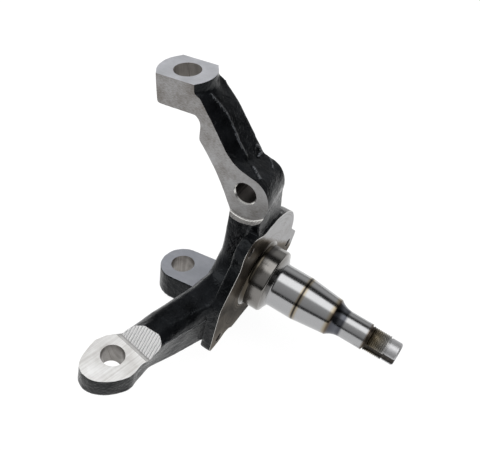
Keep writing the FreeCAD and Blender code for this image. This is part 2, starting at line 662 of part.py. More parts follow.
for item in doc.Objects:
    if "Invalid" in item.State or "Error" in item.State:
        raise SystemExit("%s failed: %s" % (item.Name, item.State))
if body.Shape.isNull() or not body.Shape.isValid() or len(body.Shape.Solids) != 1:
    raise SystemExit("the knuckle isn't one sound solid")
os.makedirs("parts", exist_ok=True)
body.Shape.exportStep("parts/%s.step" % body.Label)
print("%s: %.0f mm3" % (body.Label, body.Shape.Volume), body.Shape.BoundBox)
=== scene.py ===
import math

import bmesh
import bpy
import numpy as np
from mathutils import Matrix, Vector


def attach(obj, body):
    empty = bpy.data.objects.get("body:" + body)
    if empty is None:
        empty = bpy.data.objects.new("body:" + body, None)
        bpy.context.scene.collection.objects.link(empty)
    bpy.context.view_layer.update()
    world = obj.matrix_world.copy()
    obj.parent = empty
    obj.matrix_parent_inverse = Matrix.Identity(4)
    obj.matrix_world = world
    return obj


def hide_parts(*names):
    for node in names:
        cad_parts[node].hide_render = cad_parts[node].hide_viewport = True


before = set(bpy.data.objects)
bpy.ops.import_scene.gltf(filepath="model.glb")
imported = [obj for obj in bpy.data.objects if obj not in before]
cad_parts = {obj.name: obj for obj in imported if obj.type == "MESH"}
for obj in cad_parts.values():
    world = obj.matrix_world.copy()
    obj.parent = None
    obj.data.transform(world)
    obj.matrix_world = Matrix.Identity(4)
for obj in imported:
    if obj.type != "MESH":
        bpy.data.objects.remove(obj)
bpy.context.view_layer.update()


# The forging: upright, hub, flange and three arms in one piece of steel, hammered between two dies,
# painted black and then milled where the ball joints, caliper, shield and track rod fit to it. All
# sizes are millimetres from the spindle's axis at the flange face, +X forward, +Y out, +Z up.
MM = 0.001
TILT = math.radians(11.5)
BALL_AXIS = np.array((0.0, -math.sin(TILT), math.cos(TILT)))
OUT_ALONG_FACE = np.array((0.0, math.cos(TILT), math.sin(TILT)))
FORWARD, OUT, UP = np.eye(3)
TOP_FACE = np.array((0.0, -80.3, 126.5))
LOW_FACE = np.array((0.0, -57.3, -34.8))
CALIPER_HOLE = np.array((13.6, -19.3, 73.2))
CALIPER_LAND = 20.2
REAR_FLAT_X = -14.4
EYE_HOLE = np.array((108.6, -39.9, -10.5))
EYE_FOOT = np.array((95.0, -39.9, -10.5))
WALL_TURN = math.radians(9.8)
WALL_LEAN = math.radians(27)
WALL_ROUND = 1.3
ACROSS_WALL = np.array((math.sin(WALL_TURN), math.cos(WALL_TURN), 0.0))
AWAY_FROM_WALL = np.array((math.cos(WALL_TURN), -math.sin(WALL_TURN), 0.0))
OUT_OF_WALL = math.cos(WALL_LEAN) * AWAY_FROM_WALL + math.sin(WALL_LEAN) * UP
SCREW_CIRCLE = 52.0
SCREW_PLACES = [SCREW_CIRCLE * np.array((math.cos(turn), 0.0, math.sin(turn)))
                for turn in np.radians((58.3, -36.3, 193.6))]
# Every drilled hole: a point on its axis at its mouth, the axis out of the mouth, the largest radius
# and how deep it goes
HOLES = [(TOP_FACE, BALL_AXIS, 8.9, 22.0), (LOW_FACE, BALL_AXIS, 10.2, 22.0), (EYE_HOLE, UP, 8.0, 18.0),
         (CALIPER_HOLE, FORWARD, 8.2, 31.0), *((place, OUT, 3.5, 9.0) for place in SCREW_PLACES)]


def placed(name, data):
    """A new object of the given data in the scene."""
    item = bpy.data.objects.new(name, data)
    bpy.context.scene.collection.objects.link(item)
    return item


def finished_mesh(item):
    """The mesh that an object has after its modifiers."""
    return bpy.data.meshes.new_from_object(item.evaluated_get(bpy.context.evaluated_depsgraph_get()))


def values_of(items, name, width, kind=np.float32):
    """One property of all vertices, edges or faces of a mesh, one row each."""
    values = np.empty(len(items) * width, kind)
    items.foreach_get(name, values)
    return values.reshape(-1, width)


def positions(mesh):
    """All vertex places of a mesh, in millimetres, one row each."""
    return values_of(mesh.vertices, "co", 3).astype(float) / MM


def put_positions(mesh, points):
    """Moves the vertices of a mesh to places in millimetres."""
    mesh.vertices.foreach_set("co", (points * MM).astype(np.float32).ravel())
    mesh.update()


# The raw forging has stock on every face that will be milled, and its holes are still too small. A
# vertex that is close to a face, to the ledge or to a hole's wall lies on it, and one that is close to
# a hole's axis is in the middle of its bottom.
STOCK = 2.0
LOW_STOCK = 1.0
HOLE_STOCK = 1.5
LEDGE_STOCK = 1.5
CLOSE = 0.03
LEDGE_CLOSE = 0.06
HOLE_CLOSE = 0.6
AXIS_CLOSE = 0.5
LEDGE_TOP_X = 18.1

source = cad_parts["steering_knuckle"]
solid = bmesh.new()
solid.from_mesh(source.data)
bmesh.ops.remove_doubles(solid, verts=solid.verts, dist=1e-6)
merged = bpy.data.meshes.new("forging_solid")
solid.to_mesh(merged)
solid.free()
points = positions(merged)
x, y, z = points.T
moved = points.copy()
# Each milled face: a point on it, the way it faces, its stock, and the part of the knuckle it is on
milled_faces = (
    (CALIPER_HOLE, FORWARD, STOCK, z > CALIPER_HOLE[2] - CALIPER_LAND - 1),
    (REAR_FLAT_X * FORWARD, -FORWARD, STOCK, (z > 89) & (y < -61)),
    (TOP_FACE, BALL_AXIS, STOCK, z > 90),
    (LOW_FACE, BALL_AXIS, LOW_STOCK, z < 0),
    (EYE_HOLE, UP, STOCK, x > 85),
    (EYE_FOOT, OUT_OF_WALL, STOCK, x > 80),
    (np.zeros(3), OUT, STOCK, np.ones(len(points), bool)),
)
for spot, normal, stock, region in milled_faces:
    on_face = (np.abs((points - spot) @ normal) < CLOSE) & region
    moved[on_face] += stock * normal
to_caliper = points[:, 1:] - CALIPER_HOLE[1:]
caliper_away = np.linalg.norm(to_caliper, axis=1)
on_ledge = ((np.abs(caliper_away - CALIPER_LAND) < LEDGE_CLOSE) & (x > CALIPER_HOLE[0] - CLOSE)
            & (x < LEDGE_TOP_X) & (z < CALIPER_HOLE[2] + CLOSE))
moved[on_ledge, 1:] -= LEDGE_STOCK * to_caliper[on_ledge] / CALIPER_LAND
for spot, axis, radius, depth in HOLES:
    along = (points - spot) @ axis
    sideways = points - spot - along[:, None] * axis
    away = np.linalg.norm(sideways, axis=1)
    on_hole = (away < radius + HOLE_CLOSE) & (away > AXIS_CLOSE) & (along < STOCK) & (along > -depth - 1)
    moved[on_hole] -= HOLE_STOCK * sideways[on_hole] / away[on_hole, None]
put_positions(merged, moved)

# Its skin is worked anew in small even faces, and its edges rounded as the dies leave them
VOXEL = 0.8
ROUNDING = 12


def smoothed(points, ends, rounds, strength=0.5):
    """Each point moves towards the mean of its neighbours, round after round."""
    count = len(points)
    here = np.concatenate((ends[:, 0], ends[:, 1]))
    there = np.concatenate((ends[:, 1], ends[:, 0]))
    shares = np.bincount(here, minlength=count).clip(1)[:, None]
    for _ in range(rounds):
        mean = np.stack([np.bincount(here, points[there, k], count) for k in range(3)], 1) / shares
        points = points + (mean - points) * strength
    return points


def waves(points, length, seed):
    """A smooth bumpy field between -1 and 1: the mean of six sine waves that cross at odd angles."""
    draw = np.random.default_rng(seed)
    ways = draw.normal(size=(6, 3))
    ways /= np.linalg.norm(ways, axis=1)[:, None]
    starts = draw.uniform(0, 2 * math.pi, 6)
    stretch = draw.uniform(0.7, 1.4, 6)
    return np.mean(np.sin(points @ (ways * stretch[:, None]).T * 2 * math.pi / length + starts), axis=1)


def away_from_line(points, line):
    """The distance of each point from a line of straight runs through the given corners."""
    line = np.array(line)
    nearest = np.full(len(points), np.inf)
    for start, end in zip(line[:-1], line[1:]):
        run = end - start
        share = np.clip((points - start) @ run / (run @ run), 0, 1)
        nearest = np.minimum(nearest, np.linalg.norm(points - start - share[:, None] * run, axis=1))
    return nearest


blank = placed("forging_solid", merged)
skin = blank.modifiers.new("skin", "REMESH")
skin.mode = "VOXEL"
skin.voxel_size = VOXEL * MM
forged_mesh = finished_mesh(blank)
bpy.data.objects.remove(blank)
edge_ends = values_of(forged_mesh.edges, "vertices", 2, np.int32)
points = smoothed(positions(forged_mesh), edge_ends, ROUNDING)
put_positions(forged_mesh, points)

# The surface of the forging: long and short swells, each with its height, its length and the seed of
# its draws; seams where flash was trimmed, and scars; lumps of scale in the neck, and one hollow on the
# upper boss. A seam is a line and a lump is a spot, each with its half-width and its height.
SWELLS = ((0.15, 17.0, 3), (0.09, 6.5, 5))
SEAMS = (
    (((5.0, -59.5, 121.7), (3.2, -54.8, 117.5), (1.7, -49.1, 112.4), (1.5, -42.7, 105.3),
      (2.1, -36.3, 97.7), (1.6, -29.9, 91.3), (4.3, -21.9, 87.3), (9.5, -14.0, 86.6)), 0.75, 1.15),
    (((-10.8, -30.0, 91.0), (-13.0, -27.7, 88.9), (-11.6, -25.9, 86.8), (-7.6, -25.5, 86.6)), 0.85, 1.1),
    (((-13.5, -19.5, 85.0), (-10.0, -16.0, 85.0), (-7.1, -13.8, 84.3)), 0.6, 0.35),
    (((88.8, -16.4, 1.9), (80.1, -14.4, -1.1), (67.6, -11.2, -2.4), (55.3, -7.5, -3.8)), 0.8, 0.6),
)
LUMPS = (((17.5, -7.4, 56.0), 1.6, 0.8), ((18.0, -6.6, 51.0), 1.8, 0.9), ((28.2, -4.8, 53.8), 2.4, 0.9),
         ((34.9, -5.0, 50.0), 2.0, 0.8), ((36.9, -3.0, 42.0), 1.8, 0.6), ((20.0, -14.0, 44.0), 2.6, 0.8),
         ((2.0, 0.4, 62.0), 1.6, 0.9), ((-10.0, -59.5, 125.0), 4.0, -1.1))
facing = values_of(forged_mesh.vertex_normals, "vector", 3).astype(float)
lift = sum(height * waves(points, length, seed) for height, length, seed in SWELLS)
for line, width, rise in SEAMS:
    lift += rise * np.exp(-(away_from_line(points, line) / width) ** 2)
for spot, width, rise in LUMPS:
    lift += rise * np.exp(-(np.linalg.norm(points - np.array(spot), axis=1) / width) ** 2)

# Along the crests of the seams, over this share of their half-width, the paint is lighter grey: paint rubbed
# thin there, and a painted highlight along each crest
SEAM_CREST_SHARE = 0.8
middles = values_of(forged_mesh.polygons, "center", 3).astype(float) / MM
on_highlit_crest = np.min([away_from_line(middles, line) / width for line, width, _ in SEAMS], axis=0) < SEAM_CREST_SHARE
put_positions(forged_mesh, points + facing * lift[:, None])


def grid_faces(rows, columns):
    """Quads of a grid of points, one row after another, closed round its columns."""
    row, column = np.meshgrid(np.arange(rows - 1), np.arange(columns), indexing="ij")
    here = row * columns + column
    beside = row * columns + (column + 1) % columns
    return np.stack((here, beside, beside + columns, here + columns), axis=2).reshape(-1, 4).tolist()


def swept(name, rings, finishes, numbers=()):
    """A closed mesh through rings of points in millimetres, with a face across each end.

    A face takes the first finish, or the one whose number stands at the face's place in numbers.
    """
    rows, columns = rings.shape[:2]
    last = (rows - 1) * columns
    faces = grid_faces(rows, columns) + [list(range(columns)), list(range(last, last + columns))]
    mesh = bpy.data.meshes.new(name)
    mesh.from_pydata((rings.reshape(-1, 3) * MM).tolist(), [], faces)
    shape = bmesh.new()
    shape.from_mesh(mesh)
    bmesh.ops.recalc_face_normals(shape, faces=shape.faces)
    shape.to_mesh(mesh)
    shape.free()
    for finish in finishes:
        mesh.materials.append(finish)
    for face, number in zip(mesh.polygons, numbers):
        face.material_index = number
    return mesh


def block(name, origin, ways, spans, along, reach, finish):
    """A block: a rectangle with a span along each of two ways, carried by reach along a third way."""
    (left, right), (bottom, top) = spans
    flat = np.array(((left, bottom), (right, bottom), (right, top), (left, top)), float)
    end = origin + flat[:, :1] * ways[0] + flat[:, 1:] * ways[1]
    return swept(name, np.stack((end, end + reach * along)), [finish])


def drill(name, mouth, axis, profile, finish, columns=72):
    """A turned cutter: rings of (radius, along) places about an axis, closed at both ends."""
    first = np.cross(axis, FORWARD if abs(axis[0]) < 0.5 else UP)
    first /= np.linalg.norm(first)
    second = np.cross(axis, first)
    turn = np.linspace(0, 2 * math.pi, columns, endpoint=False)
    ring = np.cos(turn)[:, None] * first + np.sin(turn)[:, None] * second
    radius, along = np.array(profile, float).T
    return swept(name, mouth + along[:, None, None] * axis + radius[:, None, None] * ring, [finish])


def arc_places(centre, radius, start, end, steps):
    """Places on an arc round a centre, from one angle in degrees to another."""
    turn = np.radians(np.linspace(start, end, steps + 1))
    return [(centre[0] + radius * math.cos(angle), centre[1] + radius * math.sin(angle)) for angle in turn]


# The caliper face's cutter, measured from the caliper hole, reaches past the upper boss
CORNER_ROUND = 1.0
FRONT_TOP = 90
FRONT_INNER = -98
FRONT_REACH = 20


def front_cutter(face_finish, side_highlight_finish):
    """The sweep of the caliper face's cutter: the face's outline, smaller at its foot by the rounding.

    At a turn t of the rounding, the outline is smaller by the round times 1 - sin t, and stands out
    from the face by the round times 1 - cos t.
    """
    rings = []
    for turn in np.radians(np.arange(0, 91, 18)):
        reach = CALIPER_LAND - CORNER_ROUND * (1 - math.sin(turn))
        rise = CORNER_ROUND * (1 - math.cos(turn))
        flat = np.array(arc_places((0, 0), reach, 180, 360, 60)
                        + [(reach, FRONT_TOP), (FRONT_INNER, FRONT_TOP), (FRONT_INNER, 0)])
        rings.append(CALIPER_HOLE + flat[:, :1] * OUT + flat[:, 1:] * UP + rise * FORWARD)
    rings.append(rings[-1] + FRONT_REACH * FORWARD)
    sides = (len(rings) - 1) * len(rings[0])
    return swept("front_cutter", np.array(rings), [face_finish, side_highlight_finish], [1] * sides)


# Cutter marks down the milled wall: round-bottomed grooves side by side, with sharp ridges between
GROOVE_PITCH = 2.0
GROOVE_DEPTH = 0.28
GROOVE_STEPS = 8
WALL_RISE = 30.0
WALL_STEPS = 30
CORNER_STEPS = 7
CUT_ACROSS = 30.0
CUT_REACH = 75.0


def eye_cutter(face_finish, wall_finish, corner_shade_finish):
    """The milling cutter's sweep over the eye: its profile of (away from wall, up), carried across.

    The profile runs down the leaning wall, round the cutter's corner and out over the eye's face. The
    wall's part is pushed into the steel by a row of shallow round grooves.
    """
    lean = math.tan(WALL_LEAN)
    heights = np.linspace(WALL_RISE, WALL_ROUND * math.cos(WALL_LEAN), WALL_STEPS)
    wall = np.stack((-heights * lean, heights), 1)
    corner_radius = WALL_ROUND * math.tan(math.radians(90) / 2 + WALL_LEAN / 2)
    corner = np.array(arc_places((WALL_ROUND, corner_radius), corner_radius,
                                 180 + math.degrees(WALL_LEAN), 270, CORNER_STEPS))
    profile = np.concatenate((wall, corner, [(CUT_REACH, 0.0), (CUT_REACH, WALL_RISE)]))
    across = np.arange(-CUT_ACROSS, CUT_ACROSS + 0.01, GROOVE_PITCH / GROOVE_STEPS)
    phase = across / GROOVE_PITCH - np.floor(across / GROOVE_PITCH) - 0.5
    depth = np.concatenate((np.full(len(wall), 1.0), np.linspace(1, 0, len(corner)), (0, 0)))
    push = GROOVE_DEPTH * depth[None, :] * (1 - 4 * phase[:, None] ** 2)
    rings = (EYE_FOOT + across[:, None, None] * ACROSS_WALL + profile[None, :, :1] * AWAY_FROM_WALL
             + profile[None, :, 1:] * UP - push[:, :, None] * OUT_OF_WALL)
    numbers = [1] * (len(wall) - 1) + [2] * len(corner) + [0] * 3
    return swept("eye_cutter", rings, [face_finish, wall_finish, corner_shade_finish], numbers * (len(across) - 1))


def new_material(name):
    """A material with a principled shader on its surface, and its nodes, links and shader."""
    material = bpy.data.materials.new(name)
    material.use_nodes = True
    nodes, links = material.node_tree.nodes, material.node_tree.links
    nodes.clear()
    output = nodes.new("ShaderNodeOutputMaterial")
    shader = nodes.new("ShaderNodeBsdfPrincipled")
    links.new(shader.outputs["BSDF"], output.inputs["Surface"])
    return material, nodes, links, shader


def group_with(name, inputs, outputs):
    """An empty node group. Inputs are (name, kind, default); outputs are (name, kind)."""
    group = bpy.data.node_groups.new(name, "ShaderNodeTree")
    for label, kind, default in inputs:
        socket = group.interface.new_socket(name=label, in_out="INPUT", socket_type=kind)
        if default is not None:
            socket.default_value = default
    for label, kind in outputs:
        group.interface.new_socket(name=label, in_out="OUTPUT", socket_type=kind)
    entry = group.nodes.new("NodeGroupInput")
    leave = group.nodes.new("NodeGroupOutput")
    return group, group.nodes, group.links, entry, leave


def noise(nodes, links, vector, scale, detail=2.0, rough=0.5):
    """Noise over a vector, from 0 to 1."""
    node = nodes.new("ShaderNodeTexNoise")
    node.inputs["Scale"].default_value = scale
    node.inputs["Detail"].default_value = detail
    node.inputs["Roughness"].default_value = rough
    links.new(vector, node.inputs["Vector"])
    return node.outputs["Fac"]


def ramp(nodes, links, value, stops):
    """A colour ramp through (place, colour) stops."""
    node = nodes.new("ShaderNodeValToRGB")
    elements = node.color_ramp.elements
    while len(elements) < len(stops):
        elements.new(0.5)
    for element, (place, colour) in zip(elements, stops):
        element.position = place
        element.color = (*colour, 1.0)
    links.new(value, node.inputs["Fac"])
    return node.outputs["Color"]


def spread_out(nodes, links, value, low, high, start=0.25, end=0.75):
    """A value between start and end stretched to run from low to high."""
    node = nodes.new("ShaderNodeMapRange")
    node.inputs["From Min"].default_value = start
    node.inputs["From Max"].default_value = end
    node.inputs["To Min"].default_value = low
    node.inputs["To Max"].default_value = high
    links.new(value, node.inputs["Value"])
    return node.outputs["Result"]


def combined(nodes, links, first, second, kind="ADD"):
    """Two values added, or combined in another way; either may be a plain number."""
    node = nodes.new("ShaderNodeMath")
    node.operation = kind
    for socket, value in zip(node.inputs, (first, second)):
        if isinstance(value, (int, float)):
            socket.default_value = value
        else:
            links.new(value, socket)
    return node.outputs["Value"]


def mapped(nodes, links, scale=(1, 1, 1), turn=(0, 0, 0), place=(0, 0, 0)):
    """Object coordinates, moved, turned and stretched."""
    coordinate = nodes.new("ShaderNodeTexCoord")
    mapping = nodes.new("ShaderNodeMapping")
    mapping.inputs["Scale"].default_value = scale
    mapping.inputs["Rotation"].default_value = turn
    mapping.inputs["Location"].default_value = place
    links.new(coordinate.outputs["Object"], mapping.inputs["Vector"])
    return mapping.outputs["Vector"]


def bumped(nodes, links, shader, height, distance):
    """Raises a shader's surface by height times distance, in metres."""
    node = nodes.new("ShaderNodeBump")
    node.inputs["Distance"].default_value = distance
    links.new(height, node.inputs["Height"])
    links.new(node.outputs["Normal"], shader.inputs["Normal"])


def laid(across, along):
    """The turn that brings a face's two ways onto the pattern's first two axes."""
    across, along = Vector(across), Vector(along)
    return Matrix((across, along, across.cross(along))).to_euler()


# Black paint over forging scale: semi-gloss, orange-peeled and dappled, and a little greyer where it is
# thin. The seams' crests take a grey paint, which is both rubbed paint and a painted highlight.
THICK_PAINT, THIN_PAINT = (0.0014, 0.0016, 0.0019), (0.0085, 0.0093, 0.0107)
paint, nodes, links, shader = new_material("black_forging_paint")
place = mapped(nodes, links)
peel = noise(nodes, links, place, 700, 3)
dapple = noise(nodes, links, mapped(nodes, links, (0.6, 1, 1)), 150, 4, 0.65)
broad = noise(nodes, links, place, 60, 3, 0.5)
links.new(ramp(nodes, links, broad, ((0.35, THICK_PAINT), (0.65, THIN_PAINT))), shader.inputs["Base Color"])
links.new(spread_out(nodes, links, dapple, 0.07, 0.24), shader.inputs["Roughness"])
shader.inputs["Specular IOR Level"].default_value = 0.14
shader.inputs["Specular Tint"].default_value = (0.88, 0.95, 1.0, 1.0)
skin_height = combined(nodes, links, combined(nodes, links, dapple, 4.0, "MULTIPLY"), peel)
bumped(nodes, links, shader, skin_height, 0.00024)

# Grey paint on the seams' crests: paint rubbed thin there, and a painted highlight along each crest
SEAM_WEAR_HIGHLIGHT_DARK, SEAM_WEAR_HIGHLIGHT_LIGHT = (0.030, 0.032, 0.036), (0.085, 0.09, 0.10)
seam_wear_and_highlight, nodes, links, shader = new_material("seam_wear_and_highlight_paint")
seam_tone = noise(nodes, links, mapped(nodes, links), 260, 3)
links.new(ramp(nodes, links, seam_tone, ((0.36, SEAM_WEAR_HIGHLIGHT_DARK), (0.64, SEAM_WEAR_HIGHLIGHT_LIGHT))), shader.inputs["Base Color"])
shader.inputs["Roughness"].default_value = 0.32
shader.inputs["Specular IOR Level"].default_value = 0.35

# Cutter marks: fine lines round a centre, which run straight where the centre is far off. The lines
# are a noise of the distance from the centre, stretched a long way in the other direction.
marks, nodes, links, entry, leave = group_with(
    "cutter_marks", (("Vector", "NodeSocketVector", None), ("Pitch", "NodeSocketFloat", 2000.0),
                     ("Length", "NodeSocketFloat", 60.0)),
    (("Height", "NodeSocketFloat"), ("Cloud", "NodeSocketFloat"), ("Distance", "NodeSocketFloat")))
flat = nodes.new("ShaderNodeSeparateXYZ")
links.new(entry.outputs["Vector"], flat.inputs["Vector"])
squares = [combined(nodes, links, flat.outputs[axis], 2.0, "POWER") for axis in "XY"]
away = combined(nodes, links, combined(nodes, links, *squares), 0.5, "POWER")
stretched = nodes.new("ShaderNodeCombineXYZ")
across_marks = combined(nodes, links, away, entry.outputs["Pitch"], "MULTIPLY")
along_marks = combined(nodes, links, flat.outputs["Y"], entry.outputs["Length"], "MULTIPLY")
links.new(across_marks, stretched.inputs["X"])
links.new(along_marks, stretched.inputs["Y"])
links.new(noise(nodes, links, stretched.outputs["Vector"], 1.0, 3, 0.6), leave.inputs["Height"])
links.new(noise(nodes, links, entry.outputs["Vector"], 70, 4, 0.6), leave.inputs["Cloud"])
links.new(away, leave.inputs["Distance"])

# The marks' centre is so far off that they run straight, or it is the origin and they run round it.
# Levels along a way are given up to REACH from the origin, in metres, and rings up to RING_REACH from
# the centre, in millimetres.
STRAIGHT, ROUND = (0.6, 0, 0), (0, 0, 0)
REACH = 0.15
RING_REACH = 60


def milled(name, dark, light, turn, pitch, length, rough, metal, depth=0.00002, grain=0.5, centre=STRAIGHT,
           way=None, levels=None, rings=None, spread=0.14, middle=None, edge=1.0):
    """Milled steel: cutter marks round a centre, over a cloudy colour between dark and light.

    Pitch and length are how many marks a metre holds, across them and along them, and grain is the
    marks' share in the colour beside the clouds. With a way, the colour also goes from
    dark (0) to light (1) along it, through levels given as (millimetres, level) stops. With rings, it
    is lighter or darker at distances from the centre, given in the same form. A larger spread makes
    the marks and clouds fainter beside the levels and rings. Edge is how much of its shine is left
    where it is seen edge on.
    """
    material, nodes, links, shader = new_material(name)
    group = nodes.new("ShaderNodeGroup")
    group.node_tree = marks
    group.inputs["Pitch"].default_value = pitch
    group.inputs["Length"].default_value = length
    links.new(mapped(nodes, links, (1, 1, 1), turn, centre), group.inputs["Vector"])
    line, cloud = group.outputs["Height"], group.outputs["Cloud"]
    blend = combined(nodes, links, combined(nodes, links, line, grain, "MULTIPLY"),
                     combined(nodes, links, cloud, 1 - grain, "MULTIPLY"))
    if way:
        reach = nodes.new("ShaderNodeVectorMath")
        reach.operation = "DOT_PRODUCT"
        reach.inputs[1].default_value = way
        links.new(mapped(nodes, links), reach.inputs[0])
        stops = [((place * MM + REACH) / (2 * REACH), (level,) * 3) for place, level in levels]
        share = spread_out(nodes, links, reach.outputs["Value"], 0, 1, -REACH, REACH)
        level = ramp(nodes, links, share, stops)
        blend = combined(nodes, links, blend, spread_out(nodes, links, level, -spread, spread, 0, 1))
    if rings:
        stops = [(place / RING_REACH, (level,) * 3) for place, level in rings]
        share = combined(nodes, links, group.outputs["Distance"], 1 / (RING_REACH * MM), "MULTIPLY")
        ringed = ramp(nodes, links, share, stops)
        blend = combined(nodes, links, blend, spread_out(nodes, links, ringed, -spread, spread, 0, 1))
    stops = [(0.5 - spread, dark), (0.5 + spread, light)]
    if middle:
        stops.insert(1, (0.5, middle))
    links.new(ramp(nodes, links, blend, stops), shader.inputs["Base Color"])
    links.new(spread_out(nodes, links, line, *rough), shader.inputs["Roughness"])
    shader.inputs["Metallic"].default_value = metal
    shader.inputs["Specular Tint"].default_value = (edge, edge, edge, 1.0)
    bumped(nodes, links, shader, line, depth)
    return material


eye_bore_steel = milled("eye_bore_steel", (0.16, 0.15, 0.14), (0.36, 0.345, 0.33), laid(FORWARD, UP),
                        pitch=900, length=30, rough=(0.25, 0.4), metal=0.85, centre=ROUND)
# The cutter's rounded corner between the eye's wall and face takes a darker copy of the milled steel: painted
# shade in that crease
corner_shade_steel = milled("milled_corner_painted_shade_steel", (0.26, 0.255, 0.25), (0.44, 0.435, 0.43), laid(OUT, FORWARD),
                      pitch=1300, length=25, rough=(0.35, 0.5), metal=0.3, grain=0.3)
# The ledge, the rounding at its foot, the countersink and the filed rim take a brighter copy of the milled
# steel: a painted highlight along these edges
ledge_highlight_steel = milled("milled_ledge_steel_painted_highlight", (0.50, 0.49, 0.47), (0.80, 0.79, 0.77), laid(OUT, FORWARD),
                     pitch=1500, length=30, rough=(0.18, 0.30), metal=0.9)
drilled_steel = milled("drilled_steel", (0.08, 0.074, 0.07), (0.26, 0.245, 0.235), laid(UP, OUT),
                       pitch=900, length=40, rough=(0.25, 0.4), metal=0.85, depth=0.00005, grain=0.6)
# The upper taper takes a lighter copy of the lower taper's steel: painted light on the upper bore's wall
top_taper_lit_steel = milled("reamed_top_taper_steel_painted_light", (0.30, 0.28, 0.265), (0.74, 0.72, 0.69),
                         laid(FORWARD, OUT), pitch=1100, length=30, rough=(0.25, 0.4), metal=0.7, spread=0.25)
taper_steel = milled("reamed_taper_steel", (0.15, 0.138, 0.128), (0.40, 0.38, 0.36), laid(FORWARD, OUT),
                     pitch=1100, length=30, rough=(0.25, 0.4), metal=0.85)
front_steel = milled("milled_front_steel", (0.18, 0.165, 0.152), (0.40, 0.40, 0.405), laid(UP, OUT),
                     pitch=1600, length=500, rough=(0.35, 0.5), metal=0.85, depth=0.00003,
                     way=(0.0, 0.0, -1.0), levels=((-118, 0.3), (-85, 0.7)))
boss_steel = milled("milled_top_boss_steel", (0.50, 0.51, 0.54), (0.66, 0.67, 0.71),
                    laid(FORWARD, OUT_ALONG_FACE), pitch=1500, length=60, rough=(0.34, 0.44), metal=0.7,
                    depth=0.00001, grain=0.3)
low_steel = milled("milled_low_boss_steel", (0.38, 0.395, 0.435), (0.48, 0.495, 0.54),
                   laid(FORWARD, OUT_ALONG_FACE), pitch=1500, length=60, rough=(0.34, 0.44), metal=0.7,
                   depth=0.00001, grain=0.3)
eye_steel = milled("milled_eye_steel", (0.60, 0.585, 0.565), (0.92, 0.92, 0.915), laid(OUT, FORWARD),
                   pitch=900, length=14, rough=(0.35, 0.5), metal=0.4, grain=0.45)

# Light and dark bands cross the flange's face from its lower front to its upper rear: a painted
# reflection of the studio on the turned face. Turned rings show round the seal collar.
FLANGE_SHEEN_WAY = (-0.67, 0.0, 0.74)
FLANGE_SHEEN_LEVELS = ((-70, 0.45), (-50, 0.30), (-40, 0.16), (-28, 0.02), (-14, 0.35), (10, 0.60), (18, 0.22),
                 (22, 0.20), (27, 0.96))
FLANGE_RINGS = ((24.6, 0.5), (25.0, 0.9), (25.8, 0.35), (26.6, 0.85), (27.4, 0.38), (28.2, 0.72),
                (29.2, 0.42), (30.2, 0.60), (31.4, 0.47), (34, 0.5))
flange_sheen_steel = milled("turned_flange_steel_painted_sheen", (0.045, 0.038, 0.030), (0.84, 0.84, 0.85), laid(FORWARD, UP),
                      pitch=3000, length=5, rough=(0.24, 0.36), metal=1.0, depth=0.00003, grain=0.6,
                      centre=ROUND, way=FLANGE_SHEEN_WAY, levels=FLANGE_SHEEN_LEVELS, rings=FLANGE_RINGS, spread=0.36,
                      middle=(0.34, 0.30, 0.25), edge=0.34)

# The wall's grooves are bright, with a darker line painted along each ridge between them: painted shade of
# the ridges
GROOVE, RIDGE_SHADE = (0.88, 0.88, 0.88), (0.34, 0.34, 0.35)
wall_ridge_shade_steel, nodes, links, shader = new_material("grooved_wall_steel_ridge_shade")
groove = nodes.new("ShaderNodeVectorMath")
groove.operation = "DOT_PRODUCT"
groove.inputs[1].default_value = ACROSS_WALL / (GROOVE_PITCH * MM)
links.new(mapped(nodes, links, place=-EYE_FOOT * MM), groove.inputs[0])
wander = spread_out(nodes, links, noise(nodes, links, mapped(nodes, links), 300), -0.15, 0.15)
in_groove = combined(nodes, links, combined(nodes, links, groove.outputs["Value"], wander), 0.5, "PINGPONG")
from_middle = combined(nodes, links, in_groove, 2.0, "MULTIPLY")
links.new(ramp(nodes, links, from_middle, ((0.55, GROOVE), (0.98, RIDGE_SHADE))), shader.inputs["Base Color"])
shader.inputs["Roughness"].default_value = 0.4
shader.inputs["Metallic"].default_value = 0.35

